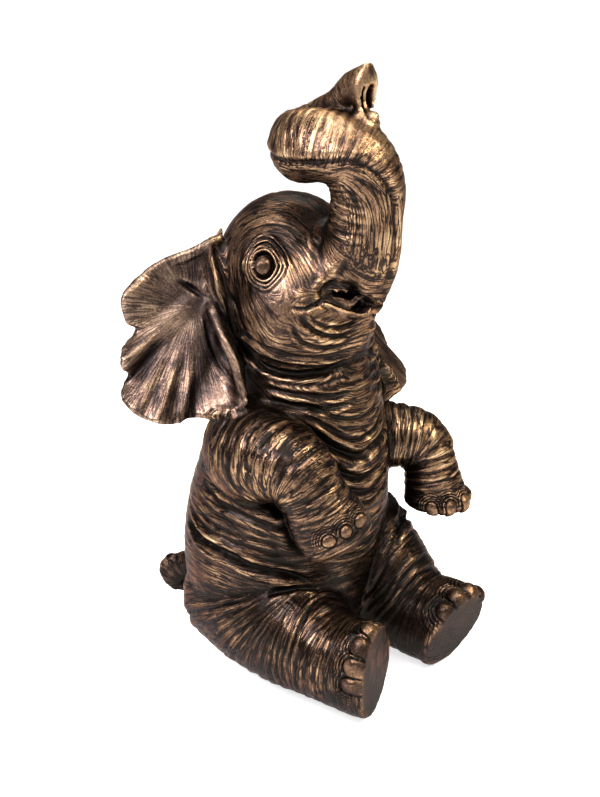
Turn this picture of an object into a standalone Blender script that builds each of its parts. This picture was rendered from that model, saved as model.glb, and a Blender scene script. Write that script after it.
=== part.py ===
"""A seated young elephant in cast bronze, its trunk raised in a curl above its head.

Metres, +Z up. It sits on the floor facing -Y, so its right side is -X. The tables below
hold the modeller's stations in centimetres, and CM turns them into metres.
"""

import math

import bmesh
import bpy
import numpy as np

HEIGHT = 0.63                # floor to the top of the trunk's mouth
STATION_HEIGHT = 63.0        # the same in the modeller's stations below
CM = HEIGHT / STATION_HEIGHT
VOXEL = 0.0036               # grid that fuses the swept shapes into one skin
TRIANGLES = 9000             # what the fused skin is thinned to
SMOOTHING = 2                # passes that take the grid's steps out of the fused skin
EAR_THICKNESS = 0.9          # this, and every size below but FLOOR_CUT, in the stations' unit
EAR_CUP = 0.9                # how far the middle of an ear is hollowed back
FLOOR_CUT = 0.05             # depth of the block that cuts the underside flat
BRONZE = (0.155, 0.098, 0.062, 1.0)

# Torso, from the seat to the neck: height, how far its middle is behind the origin,
# half its width, half its depth.
TORSO = [
    (2.6, 0.7, 7.8, 7.5),
    (5.5, 0.4, 9.3, 9.2),
    (10, 0.4, 10.4, 10.0),
    (15, 0.0, 10.7, 10.1),
    (20, -1.0, 9.9, 9.9),
    (25, -1.8, 8.8, 9.3),
    (29, -2.0, 7.9, 8.5),
    (33, -1.7, 7.4, 7.8),
    (37, -1.4, 7.0, 7.0),
    (41, -1.4, 6.4, 6.4),
]

# Limbs: centre (x, y, z), half width, half depth. The last station is the sole's.
RIGHT_LEG = [
    (-3.4, 3.6, 7.2, 6.3, 6.6),
    (-5.3, -1.8, 7.2, 5.9, 6.6),
    (-6.2, -7.2, 6.7, 5.3, 5.8),
    (-6.6, -11.8, 6.1, 4.4, 4.7),
    (-6.4, -15.6, 6.1, 4.4, 4.8),
    (-6.1, -16.7, 6.1, 4.3, 4.8),
]
LEFT_LEG = [
    (3.8, 3.8, 8.2, 6.6, 7.6),
    (5.6, -2.0, 9.7, 6.2, 9.2),
    (6.5, -6.4, 8.3, 5.5, 7.5),
    (7.0, -11.9, 5.4, 4.4, 4.8),
    (7.3, -15.4, 5.1, 4.4, 4.8),
    (7.2, -16.9, 4.6, 4.4, 4.8),
]
RIGHT_ARM = [
    (-4.6, -0.8, 25.6, 5.0, 5.0),
    (-8.0, -2.8, 26.2, 5.0, 5.2),
    (-9.3, -6.6, 27.0, 4.2, 4.5),
    (-9.3, -9.5, 26.5, 3.6, 3.7),
    (-8.9, -11.1, 24.4, 3.1, 3.3),
    (-8.2, -12.4, 21.8, 3.6, 3.2),
    (-7.8, -13.3, 20.1, 3.5, 3.0),
]
LEFT_ARM = [
    (4.6, -3.4, 24.0, 4.2, 4.2),
    (7.4, -7.0, 24.1, 3.4, 3.4),
    (9.7, -9.9, 23.5, 3.0, 3.0),
    (10.1, -11.0, 21.4, 2.6, 2.7),
    (10.2, -11.5, 19.1, 2.8, 3.0),
    (10.3, -11.8, 17.4, 3.2, 3.4),
    (10.3, -11.8, 16.6, 3.1, 3.3),
]

# Trunk, from the face to its mouth: centre, half width, half depth, then the direction
# that its ventral side faces.
TRUNK = [
    (0.0, -3.6, 43.3, 6.0, 5.0, 0.0, -0.4, -0.9),
    (0.2, -7.8, 44.0, 5.0, 4.3, 0.0, -0.7, -0.7),
    (0.1, -9.4, 46.2, 3.9, 3.7, 0.0, -1.0, -0.3),
    (0.0, -9.9, 49.0, 3.3, 3.5, 0.0, -1.0, 0.0),
    (0.0, -10.1, 52.0, 3.4, 3.5, 0.0, -1.0, 0.2),
    (-0.9, -9.2, 54.8, 3.3, 3.5, -0.4, -0.8, 0.4),
    (-2.3, -6.7, 55.7, 3.3, 3.2, -0.9, -0.4, 0.1),
    (-2.4, -4.0, 55.3, 3.4, 2.7, -1.0, 0.1, 0.0),
    (-1.0, -2.3, 55.4, 2.9, 2.3, -0.4, 0.9, 0.0),
    (0.9, -2.3, 56.1, 2.3, 2.0, 0.8, 0.4, -0.2),
    (1.5, -4.0, 57.5, 1.8, 1.8, 0.8, 0.0, -0.5),
    (1.1, -6.2, 59.0, 1.5, 1.6, 0.3, -0.2, -0.9),
    (0.6, -8.1, 60.5, 1.4, 1.8, 0.0, -0.3, -1.0),
    (0.3, -9.9, 60.65, 1.35, 2.7, -0.1, -0.1, -1.0),
]

# Head: centre of each rounded mass and its three half sizes.
HEAD = [
    ((0.0, -0.7, 42.1), (7.1, 7.2, 7.8)),
    ((-2.2, -3.8, 39.8), (6.2, 6.0, 6.8)),
    ((1.6, -3.1, 39.8), (5.7, 5.7, 6.6)),
    ((0.0, -5.5, 37.8), (4.6, 4.4, 4.0)),
]
LOWER_LIP = [
    (0.0, -4.5, 38.0, 4.0, 3.2),
    (0.0, -7.8, 38.8, 3.0, 2.2),
    (0.0, -9.8, 40.3, 1.3, 0.9),
]
TAIL = [
    (-1.2, 8.0, 6.8, 1.8, 1.8),
    (-1.6, 11.6, 6.6, 1.3, 1.3),
    (-2.1, 13.5, 5.8, 1.3, 1.4),
    (-2.3, 14.3, 4.3, 1.3, 1.4),
    (-2.2, 14.0, 3.2, 0.9, 1.0),
]

# Features that stand on the skin: centre and half sizes. The mirror of each is on the left.
EYEBALL = ((-6.95, -3.25, 44.70), (1.10, 1.10, 1.10))
TRUNK_LIP = ((0.1, -10.3, 58.3), (1.0, 0.9, 1.1))        # the lower finger of the trunk's mouth
UPPER_LIP = ((0.6, -10.1, 42.5), (2.3, 1.9, 1.9))        # where the trunk hangs over the mouth
EYELID = 1.45                # radius of the ring of skin round an eyeball, and its thickness
EYELID_THICK = 0.50
NAIL = 1.0                   # half size of a toenail
NAILS = {                    # how far back from the sole, then each nail's turn from the front
    "right_leg": (0.75, (8, 31, 55, 79)),
    "left_leg": (0.75, (-46, -18, 10, 38)),
    "right_arm": (1.40, (-48, -8, 32)),
    "left_arm": (0.90, (-45, -5, 35)),
}

# Hollows cut out of the skin: centre and half sizes.
MOUTH = ((0.0, -8.9, 41.8), (5.6, 2.9, 1.3))
TRUNK_DISH = ((0.4, -11.8, 60.0), (2.4, 2.4, 2.3))       # bends the trunk's end inwards
NOSTRILS = [((-0.25, -9.6, 59.9), (0.38, 1.6, 1.3)), ((0.85, -9.6, 59.9), (0.38, 1.6, 1.3))]

# Ears: points round the free rim, from the top of the root to its bottom, and how far the
# rim's wave stands forward there. Then the root, and the way that the ear faces.
RIGHT_EAR_RIM = [
    (-6.9, 2.6, 46.3, 0.0), (-9.0, 3.8, 45.1, 0.0), (-12.2, 5.9, 44.0, 0.3),
    (-14.1, 6.8, 42.6, 0.9), (-15.2, 7.2, 41.3, 1.2), (-15.3, 6.5, 39.3, 0.2),
    (-15.3, 5.8, 37.7, -1.0), (-16.4, 6.2, 36.6, 0.3), (-16.8, 5.9, 35.0, 0.8),
    (-16.6, 5.3, 33.9, -0.6), (-17.4, 5.5, 32.8, -0.2), (-17.0, 4.5, 31.4, 0.8),
    (-16.1, 3.4, 30.5, 1.2), (-14.4, 1.8, 29.9, 0.9), (-13.0, 0.8, 30.4, -0.4),
    (-11.2, -1.4, 30.2, 0.2), (-9.8, -3.0, 31.4, 1.0), (-9.6, -2.6, 32.9, 1.0),
    (-9.5, -1.6, 35.3, 0.9), (-9.5, 0.2, 38.2, 0.5), (-8.9, 1.9, 40.5, 0.0),
]
RIGHT_EAR_ROOT = [(-5.6, 2.6, 46.0), (-5.8, 1.6, 44.0), (-6.2, 0.8, 41.5), (-6.6, 0.2, 39.0)]
RIGHT_EAR_FACES = (-0.60, -0.74, 0.31)
LEFT_EAR_RIM = [
    (6.5, 1.0, 46.0, 0.0), (9.5, 3.5, 44.5, 0.0), (12.6, 5.0, 42.0, 0.4),
    (14.2, 4.5, 38.5, 0.6), (14.4, 2.5, 35.0, -0.4), (13.8, -1.0, 31.6, 0.4),
    (12.6, -4.2, 29.6, 0.6), (10.9, -6.6, 28.7, 0.2), (9.4, -7.7, 28.8, 0.4),
    (7.8, -7.7, 28.1, -0.3), (6.2, -7.4, 28.2, 0.2), (6.4, -6.6, 31.6, 0.3),
    (6.8, -5.4, 35.2, 0.2), (7.0, -4.0, 38.0, 0.0),
]
LEFT_EAR_ROOT = [(5.6, 1.5, 45.0), (6.2, 0.5, 43.0), (6.4, -0.8, 41.0), (6.2, -2.4, 39.0)]
LEFT_EAR_FACES = (0.45, -0.80, 0.35)


def clear_scene():
    for old in list(bpy.data.objects):
        bpy.data.objects.remove(old)


def smooth_row(rows, at):
    """The row of a table at a fractional index, on a smooth curve through all its rows."""
    rows = np.asarray(rows, float)
    i = min(int(at), len(rows) - 2)
    t = at - i
    before, here, after, beyond = (rows[min(max(i + k, 0), len(rows) - 1)] for k in (-1, 0, 1, 2))
    return 0.5 * (2 * here + (after - before) * t
                  + (2 * before - 5 * here + 4 * after - beyond) * t * t
                  + (3 * here - before - 3 * after + beyond) * t ** 3)


def unit(vector):
    return vector / np.linalg.norm(vector)


def add_sweep(mesh, stations, fronts, start_dome, end_dome, around=28, per_station=4):
    """A closed tube through the stations. Each end is a dome of the given height, or flat."""
    stations = np.asarray(stations, float)
    fronts = np.asarray(fronts, float)
    cap = 5                  # rows in each dome
    runs = (len(stations) - 1) * per_station
    rows = runs + 2 * cap
    ball = bmesh.ops.create_uvsphere(mesh, u_segments=around, v_segments=rows, radius=1.0)
    for vert in ball["verts"]:
        row = round(math.acos(max(-1.0, min(1.0, -vert.co.z))) / math.pi * rows)
        turn = math.atan2(vert.co.y, vert.co.x)
        at = min(max(row - cap, 0), runs) / per_station
        row_here = smooth_row(stations, at)
        step = smooth_row(stations, min(at + 0.05, len(stations) - 1.0)) - smooth_row(
            stations, max(at - 0.05, 0.0))
        along = unit(step[:3])
        front = smooth_row(fronts, at)
        front = unit(front - along * (front @ along))
        side = np.cross(along, front)
        if row < cap:
            rise, lift = 0.5 * math.pi * row / cap, -start_dome
        else:
            rise, lift = 0.5 * math.pi * min(rows - row, cap) / cap, end_dome
        out, lift = math.sin(rise), lift * math.cos(rise)
        point = (row_here[:3] + side * row_here[3] * out * math.cos(turn)
                 + front * row_here[4] * out * math.sin(turn) + along * lift)
        vert.co = point * CM


def add_ball(mesh, centre, half_sizes):
    ball = bmesh.ops.create_uvsphere(mesh, u_segments=32, v_segments=20, radius=1.0)
    for vert in ball["verts"]:
        vert.co = [(c + h * n) * CM for c, h, n in zip(centre, half_sizes, vert.co)]


def ear_point(rim, root, faces, across, down):
    """A point of the ear's middle sheet: across runs from root to rim, down along the rim."""
    edge = smooth_row(rim, down * (len(rim) - 1))
    inner = smooth_row(root, down * (len(root) - 1))
    bulge = edge[3] * across ** 2 - EAR_CUP * math.sin(math.pi * across)
    return inner + (edge[:3] - inner) * across + unit(np.array(faces)) * bulge


def add_ear(mesh, rim, root, faces):
    """A closed sheet of even thickness: a front and a back skin joined along all four edges."""
    across_steps, down_steps = 12, 4 * len(rim)
    middle = np.array([[ear_point(rim, root, faces, i / across_steps, j / down_steps)
                        for j in range(down_steps + 1)] for i in range(across_steps + 1)])
    normal = np.cross(np.gradient(middle, axis=0), np.gradient(middle, axis=1))
    normal /= np.linalg.norm(normal, axis=2, keepdims=True)
    skins = [[[mesh.verts.new((point + way * EAR_THICKNESS / 2 * n) * CM) for point, n in zip(row, ns)]
              for row, ns in zip(middle, normal)] for way in (1, -1)]
    for i in range(across_steps):
        for j in range(down_steps):
            for skin in skins:
                mesh.faces.new((skin[i][j], skin[i + 1][j], skin[i + 1][j + 1], skin[i][j + 1]))
    front, back = skins
    ring = ([(i, 0) for i in range(across_steps)] + [(across_steps, j) for j in range(down_steps)]
            + [(i, down_steps) for i in range(across_steps, 0, -1)]
            + [(0, j) for j in range(down_steps, 0, -1)])
    for (i, j), (k, m) in zip(ring, ring[1:] + ring[:1]):
        mesh.faces.new((front[i][j], front[k][m], back[k][m], back[i][j]))


def add_eye(mesh, side):
    """An eyeball in a ring of skin, facing outwards from the head."""
    (x, y, z), half_sizes = EYEBALL
    add_ball(mesh, (x * side, y, z), half_sizes)
    facing = unit(np.array([-0.86 * side, -0.42, 0.28]))
    across = unit(np.cross(facing, (0.0, 0.0, 1.0)))
    over = np.cross(across, facing)
    turns = [math.tau * n / 12 for n in range(13)]
    ring = [tuple(np.array([x * side, y, z]) + EYELID * (across * math.cos(t) + over * math.sin(t)))
            + (EYELID_THICK, EYELID_THICK) for t in turns]
    add_sweep(mesh, ring, [tuple(facing)] * len(ring), 0.1, 0.1, around=10, per_station=2)


def add_nails(mesh, limb, front, setback, turns):
    """A row of toenails round the rim of a foot."""
    last, before = np.array(limb[-1]), np.array(limb[-2])
    along = unit(last[:3] - before[:3])
    front = unit(np.array(front) - along * (np.array(front) @ along))
    side = np.cross(along, front)
    for turn in turns:
        t = math.radians(turn)
        centre = (last[:3] - along * setback + front * (last[4] - 0.35) * math.cos(t)
                  + side * (last[3] - 0.35) * math.sin(t))
        add_ball(mesh, centre, (NAIL, NAIL, NAIL))


def build_skin():
    mesh = bmesh.new()
    forward, up = (0, -1, 0), (0, 0, 1)
    torso = [(0.0, y, z, a, b) for z, y, a, b in TORSO]
    add_sweep(mesh, torso, [forward] * len(torso), 3.4, 4.0, around=40)
    limbs = {
        "right_leg": (RIGHT_LEG, up, 4.0, 0.0),
        "left_leg": (LEFT_LEG, up, 4.0, 0.0),
        "right_arm": (RIGHT_ARM, (-0.6, -0.5, 0.5), 3.0, 1.4),
        "left_arm": (LEFT_ARM, (0.0, -1.0, 0.6), 3.0, 0.0),
    }
    for name, (stations, front, start_dome, end_dome) in limbs.items():
        add_sweep(mesh, stations, [front] * len(stations), start_dome, end_dome)
        add_nails(mesh, stations, front, *NAILS[name])
    for side in (1, -1):
        add_eye(mesh, side)
    add_ball(mesh, *TRUNK_LIP)
    add_ball(mesh, *UPPER_LIP)
    add_sweep(mesh, [row[:5] for row in TRUNK], [row[5:] for row in TRUNK], 1.0, 0.0, per_station=6)
    add_sweep(mesh, LOWER_LIP, [up] * len(LOWER_LIP), 1.0, 0.8)
    add_sweep(mesh, TAIL, [(1, 0, 0)] * len(TAIL), 1.0, 0.7, around=16)
    for centre, half_sizes in HEAD:
        add_ball(mesh, centre, half_sizes)
    add_ear(mesh, RIGHT_EAR_RIM, RIGHT_EAR_ROOT, RIGHT_EAR_FACES)
    add_ear(mesh, LEFT_EAR_RIM, LEFT_EAR_ROOT, LEFT_EAR_FACES)
    bmesh.ops.recalc_face_normals(mesh, faces=mesh.faces)
    data = bpy.data.meshes.new("elephant")
    mesh.to_mesh(data)
    mesh.free()
    return data


def cutter(name, mesh):
    data = bpy.data.meshes.new(name)
    mesh.to_mesh(data)
    mesh.free()
    block = bpy.data.objects.new(name, data)
    bpy.context.scene.collection.objects.link(block)
    block.hide_render = True
    block.display_type = "WIRE"
    return block


def hollow_cutter(name, centre, half_sizes):
    mesh = bmesh.new()
    add_ball(mesh, centre, half_sizes)
    return cutter(name, mesh)


def floor_cutter():
    mesh = bmesh.new()
    bmesh.ops.create_cube(mesh, size=1.0)
    for vert in mesh.verts:
        vert.co = (vert.co.x, vert.co.y, (vert.co.z - 0.5) * FLOOR_CUT)
    return cutter("floor_block", mesh)


def centre_over_origin(pieces):
    """Moves everything by one parent, so that the middle of the box stands on the origin."""
    bpy.context.view_layer.update()
    graph = bpy.context.evaluated_depsgraph_get()
    corners = np.array(pieces[0].evaluated_get(graph).bound_box)
    middle = (corners.min(axis=0) + corners.max(axis=0)) / 2
    base = bpy.data.objects.new("base", None)
    base.location = (-middle[0], -middle[1], 0.0)
    bpy.context.scene.collection.objects.link(base)
    for piece in pieces:
        piece.parent = base


def subtract(elephant, block):
    cut = elephant.modifiers.new(block.name, "BOOLEAN")
    cut.operation = "DIFFERENCE"
    cut.object = block
    cut.solver = "EXACT"


def bronze_material():
    bronze = bpy.data.materials.new("bronze")
    bronze.use_nodes = True
    shader = bronze.node_tree.nodes["Principled BSDF"]
    shader.inputs["Base Color"].default_value = BRONZE
    shader.inputs["Metallic"].default_value = 0.85
    shader.inputs["Roughness"].default_value = 0.45
    return bronze


def main():
    clear_scene()
    elephant = bpy.data.objects.new("elephant", build_skin())
    bpy.context.scene.collection.objects.link(elephant)
    elephant.data.materials.append(bronze_material())
    fuse = elephant.modifiers.new("fuse", "REMESH")
    fuse.mode = "VOXEL"
    fuse.voxel_size = VOXEL
    fuse.use_smooth_shade = True
    smooth = elephant.modifiers.new("smooth", "SMOOTH")
    smooth.iterations = SMOOTHING
    cutters = [hollow_cutter("mouth", *MOUTH), hollow_cutter("trunk_dish", *TRUNK_DISH)]
    cutters += [hollow_cutter(f"nostril_{n}", *nostril) for n, nostril in enumerate(NOSTRILS)]
    for block in cutters:
        subtract(elephant, block)
    bpy.context.view_layer.update()
    graph = bpy.context.evaluated_depsgraph_get()
    count = sum(len(face.vertices) - 2 for face in elephant.evaluated_get(graph).data.polygons)
    thin = elephant.modifiers.new("thin", "DECIMATE")
    thin.ratio = TRIANGLES / count
    floor = floor_cutter()
    subtract(elephant, floor)
    centre_over_origin([elephant, floor] + cutters)


main()
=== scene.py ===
"""A seated young elephant in cast bronze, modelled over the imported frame.

The skin starts as a copy of the casting's plain solid. It is remeshed finely, and folds,
eyes, mouth, ears, nails and wrinkles are worked into it. Shapes are given in stations: the
modeller's centimetres, with the floor at 0 and the elephant facing -Y.
"""

import math

import bpy
import numpy as np
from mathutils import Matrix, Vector


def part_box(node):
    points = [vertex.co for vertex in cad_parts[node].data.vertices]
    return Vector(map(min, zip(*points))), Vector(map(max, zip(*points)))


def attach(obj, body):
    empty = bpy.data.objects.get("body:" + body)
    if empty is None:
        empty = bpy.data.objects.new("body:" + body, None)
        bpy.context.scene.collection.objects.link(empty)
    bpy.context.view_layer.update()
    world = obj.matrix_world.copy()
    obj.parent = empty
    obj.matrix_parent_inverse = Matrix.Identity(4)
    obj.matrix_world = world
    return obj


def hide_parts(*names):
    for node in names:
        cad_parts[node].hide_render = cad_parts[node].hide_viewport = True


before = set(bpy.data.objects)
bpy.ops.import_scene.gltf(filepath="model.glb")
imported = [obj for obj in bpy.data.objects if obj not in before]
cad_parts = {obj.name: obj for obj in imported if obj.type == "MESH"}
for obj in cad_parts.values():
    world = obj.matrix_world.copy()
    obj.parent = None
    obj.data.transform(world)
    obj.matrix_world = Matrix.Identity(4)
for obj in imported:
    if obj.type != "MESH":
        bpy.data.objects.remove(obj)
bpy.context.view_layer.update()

NODE = "elephant"
LOW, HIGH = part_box(NODE)
STATION_HEIGHT = 63.0                    # height of the casting in stations
CM = (HIGH.z - LOW.z) / STATION_HEIGHT   # metres in one station centimetre
BOX_MIDDLE = (-1.55, -1.52)              # middle of the casting's box, in stations
ORIGIN = np.array([(LOW.x + HIGH.x) / 2 - BOX_MIDDLE[0] * CM,
                   (LOW.y + HIGH.y) / 2 - BOX_MIDDLE[1] * CM, LOW.z])

SKIN_GRID = 0.0017     # metres between the points of the fine skin
SAME_POINT = 0.00002                     # metres within which two points of the solid are one
MOST_TRIANGLES = 198000
SEED = 7
PART_BLEND = 8                           # passes that soften where parts meet
EAR_BEGINS = 1.25                        # distance out of every other part, in radii
EAR_ZONE = (27.5, 48.0, 5.5)             # lowest and highest, and least distance to either side
CORNER_BEGINS = EAR_BEGINS - 0.18        # the same two for the ears' lower corners
CORNER_ZONE = (31.2, 36.0, 8.8)

# The armature: centre (x, y, z) and radius along each part, from the body outwards.
ARMATURE = {
    "torso": [(0.0, 0.7, 2.6, 7.5), (0.0, 0.4, 10.0, 10.2), (0.0, -1.0, 20.0, 9.9),
              (0.0, -2.0, 29.0, 8.2), (0.0, -1.4, 37.0, 7.0), (0.0, -1.4, 41.0, 6.4)],
    "right_leg": [(-3.4, 3.6, 7.2, 6.4), (-5.3, -1.8, 7.2, 6.2), (-6.2, -7.2, 6.7, 5.5),
                  (-6.6, -11.8, 6.1, 4.6), (-6.1, -16.7, 6.1, 4.6)],
    "left_leg": [(3.8, 3.8, 8.2, 7.0), (5.6, -2.0, 9.7, 7.6), (6.5, -6.4, 8.3, 6.4),
                 (7.0, -11.9, 5.4, 4.6), (7.2, -16.9, 4.6, 4.6)],
    "right_arm": [(-4.6, -0.8, 25.6, 5.0), (-8.0, -2.8, 26.2, 5.1), (-9.3, -6.6, 27.0, 4.3),
                  (-9.3, -9.5, 26.5, 3.7), (-8.9, -11.1, 24.4, 3.2), (-8.2, -12.4, 21.8, 3.4),
                  (-7.8, -13.3, 20.1, 3.4)],
    "left_arm": [(4.6, -3.4, 24.0, 4.2), (7.4, -7.0, 24.1, 3.4), (9.7, -9.9, 23.5, 3.0),
                 (10.1, -11.0, 21.4, 2.7), (10.2, -11.5, 19.1, 2.9), (10.3, -11.8, 16.6, 3.2)],
    "trunk": [(0.2, -7.8, 44.0, 4.7), (0.1, -9.4, 46.2, 3.8), (0.0, -9.9, 49.0, 3.4),
              (0.0, -10.1, 52.0, 3.5), (-0.9, -9.2, 54.8, 3.4), (-2.3, -6.7, 55.7, 3.3),
              (-2.4, -4.0, 55.3, 3.1), (-1.0, -2.3, 55.4, 2.6), (0.9, -2.3, 56.1, 2.2),
              (1.5, -4.0, 57.5, 1.8), (1.1, -6.2, 59.0, 1.6), (0.6, -8.1, 60.5, 1.6),
              (0.3, -9.9, 60.65, 2.0)],
    "tail": [(-1.2, 8.0, 6.8, 1.8), (-1.6, 11.6, 6.6, 1.3), (-2.1, 13.5, 5.8, 1.3),
             (-2.3, 14.3, 4.3, 1.3), (-2.2, 14.0, 3.2, 1.0)],
}
HEAD = [((0.0, -0.7, 42.1), (7.1, 7.2, 7.8)), ((-2.2, -3.8, 39.8), (6.2, 6.0, 6.8)),
        ((1.6, -3.1, 39.8), (5.7, 5.7, 6.6)), ((0.0, -5.5, 37.8), (4.6, 4.4, 4.0))]


def unit(vectors):
    """The vectors at length 1."""
    vectors = np.asarray(vectors, float)
    return vectors / np.maximum(np.linalg.norm(vectors, axis=-1, keepdims=True), 1e-12)


def smooth_step(low, high, value):
    """0 at low and before, 1 at high and past it, and smooth between."""
    t = np.clip((value - low) / (high - low), 0.0, 1.0)
    return t * t * (3 - 2 * t)


def bell(value, width):
    """1 at 0, fading out over the width to both sides."""
    return np.exp(-(value / width) ** 2)


def smooth_path(points, per_span=12):
    """A smooth curve through the points, as a dense row of points."""
    points = np.asarray(points, float)
    last = len(points) - 1
    at = np.linspace(0, last, last * per_span + 1)
    i = np.minimum(at.astype(int), last - 1)
    t = (at - i)[:, None]
    before, here = points[np.maximum(i - 1, 0)], points[i]
    after, beyond = points[i + 1], points[np.minimum(i + 2, last)]
    return 0.5 * (2 * here + (after - before) * t
                  + (2 * before - 5 * here + 4 * after - beyond) * t ** 2
                  + (3 * here - before - 3 * after + beyond) * t ** 3)


def points_of(mesh):
    """The points of a mesh, in stations."""
    points = np.empty(len(mesh.vertices) * 3)
    mesh.vertices.foreach_get("co", points)
    return (points.reshape(-1, 3) - ORIGIN) / CM


class Skin:
    """The skin while it is worked: its points in stations, its faces, and what moves them."""

    def __init__(self, piece):
        mesh = piece.data
        self.mesh = mesh
        self.at = points_of(mesh)
        mesh.calc_loop_triangles()
        faces = np.empty(len(mesh.loop_triangles) * 3, np.int64)
        mesh.loop_triangles.foreach_get("vertices", faces)
        self.faces = faces.reshape(-1, 3)
        edges = np.empty(len(mesh.edges) * 2, np.int64)
        mesh.edges.foreach_get("vertices", edges)
        edges = edges.reshape(-1, 2)
        self.start = np.concatenate([edges[:, 0], edges[:, 1]])
        self.end = np.concatenate([edges[:, 1], edges[:, 0]])
        self.count = len(self.at)
        self.neighbours = np.maximum(np.bincount(self.start, minlength=self.count), 1)
        self.turn_out()

    def gather(self, values):
        """The mean of each point's neighbours."""
        if values.ndim == 1:
            return np.bincount(self.start, values[self.end], self.count) / self.neighbours
        return np.stack([self.gather(column) for column in values.T], axis=1)

    def blur(self, values, rounds):
        """The values after each point has been drawn towards its neighbours."""
        for _ in range(rounds):
            values = 0.5 * values + 0.5 * self.gather(values)
        return values

    def turn_out(self):
        """Works out which way each point faces."""
        a, b, c = (self.at[self.faces[:, k]] for k in range(3))
        normal = np.cross(b - a, c - a)
        self.out = unit(np.stack([
            sum(np.bincount(self.faces[:, k], normal[:, axis], self.count) for k in range(3))
            for axis in range(3)], axis=1))

    def even_out(self, rounds):
        """Smooths the skin without shrinking it."""
        for _ in range(rounds):
            for step in (0.55, -0.58):
                self.at += step * (self.gather(self.at) - self.at)
        self.turn_out()

    def raise_by(self, heights):
        """Moves each point out of the skin by its height."""
        self.at += self.out * heights[:, None]
        self.turn_out()

    def write(self):
        """Puts the points back into the mesh."""
        self.mesh.vertices.foreach_set("co", (self.at * CM + ORIGIN).ravel())
        self.mesh.update()

    def attribute(self, name, values):
        """Stores a number or a vector for each point, for the bronze to read."""
        kind, field = ("FLOAT", "value") if values.ndim == 1 else ("FLOAT_VECTOR", "vector")
        layer = self.mesh.attributes.new(name, kind, "POINT")
        layer.data.foreach_set(field, values.ravel())


def scatter(cells, seed):
    """A repeatable number from -1 to 1 for each lattice cell."""
    mixed = np.full(len(cells), seed * 2654435761)
    for column, factor in zip(cells.T, (73856093, 19349663, 83492791, 67867979)):
        mixed ^= column * factor
    mixed &= 0xFFFFFFFF
    for shift, factor in ((15, 0x2C1B3C6D), (12, 0x297A2D39), (15, 1)):
        mixed = ((mixed ^ (mixed >> shift)) * factor) & 0xFFFFFFFF
    return mixed / 0x7FFFFFFF - 1.0


def cloud(at, size, seed=0):
    """Smooth random values from -1 to 1, with features about size across."""
    at = at / size + 100.0
    cell = np.floor(at).astype(np.int64)
    t = at - cell
    t = t * t * t * (t * (6 * t - 15) + 10)
    total = 0.0
    for corner in range(2 ** at.shape[1]):
        pick = corner >> np.arange(at.shape[1]) & 1
        share = np.prod(np.where(pick, t, 1 - t), axis=1)
        total = total + share * scatter(cell + pick, seed)
    return total


def grain(at, phase, across, along, seed):
    """Random streaks that follow a constant phase, from -1 to 1."""
    return cloud(np.column_stack([at / along, phase / across]), 1.0, seed)


def bone_reach(bone, at):
    """Where each point is by a bone: how far along it and, in radii, how far out of it.

    It also gives the bone's heading there, the offset across it and its nearest place.
    """
    path = smooth_path(bone)
    run = np.concatenate([[0], np.cumsum(np.linalg.norm(np.diff(path[:, :3], axis=0), axis=1))])
    heading = unit(np.gradient(path[:, :3], axis=0))
    squared = ((at ** 2).sum(1)[:, None] - 2 * at @ path[:, :3].T + (path[:, :3] ** 2).sum(1))
    near = (squared / path[:, 3] ** 2).argmin(axis=1)
    offset = at - path[near, :3]
    ahead = (offset * heading[near]).sum(1)
    across = offset - heading[near] * ahead[:, None]
    past_end = np.where((near == 0) & (ahead < 0) | (near == len(path) - 1) & (ahead > 0), ahead, 0)
    out = np.sqrt((across ** 2).sum(1) + past_end ** 2) / path[near, 3]
    return {"along": run[near] + ahead, "out": out, "heading": heading[near], "across": across,
            "near": near}


def in_zone(at, zone):
    """Whether points lie between two heights and far enough out to either side."""
    lowest, highest, least = zone
    return (at[:, 2] > lowest) & (at[:, 2] < highest) & (np.abs(at[:, 0]) > least)


def part_weights(skin, reach):
    """How much each point belongs to each part, from 0 to 1, softened where parts meet."""
    head = np.min([np.linalg.norm((skin.at - centre) / half, axis=1) for centre, half in HEAD], axis=0)
    names = list(ARMATURE) + ["head", "right_ear", "left_ear"]
    outs = np.stack([reach[name]["out"] for name in ARMATURE] + [head], axis=1)
    # below the mouth is all head, and none of it trunk
    outs[skin.at[:, 2] < MOUTH_CORNER[2] + 0.2, names.index("trunk")] += 1.0
    begins = np.where(in_zone(skin.at, CORNER_ZONE), CORNER_BEGINS, EAR_BEGINS)
    ear = (outs.min(axis=1) > begins) & in_zone(skin.at, EAR_ZONE)
    which_ear = np.where(skin.at[:, 0] < 0, names.index("right_ear"), names.index("left_ear"))
    nearest = np.where(ear, which_ear, outs.argmin(axis=1))
    weights = skin.blur(np.eye(len(names))[nearest], PART_BLEND)
    return {name: weights[:, k] for k, name in enumerate(names)}


def nearest_point(skin, place):
    """The number of the skin's point nearest to a place."""
    return int(((skin.at - np.asarray(place)) ** 2).sum(1).argmin())


def laid_on(skin, places, margin):
    """A smooth stroke laid on the skin through the places: its points, facing, heading, and
    which points of the skin lie inside its box."""
    pins = [nearest_point(skin, place) for place in places]
    path = smooth_path(skin.at[pins])
    low, high = path.min(axis=0) - margin, path.max(axis=0) + margin
    which = np.where(((skin.at > low) & (skin.at < high)).all(axis=1))[0]
    offset = path[:, None, :] - skin.at[which][None, :, :]
    nearest = which[(offset ** 2).sum(2).argmin(axis=1)]
    path, facing = skin.at[nearest], skin.out[nearest]
    for _ in range(4):
        path[1:-1] = 0.25 * path[:-2] + 0.5 * path[1:-1] + 0.25 * path[2:]
        facing[1:-1] = 0.25 * facing[:-2] + 0.5 * facing[1:-1] + 0.25 * facing[2:]
    return path, unit(facing), unit(np.gradient(path, axis=0)), which


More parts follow.
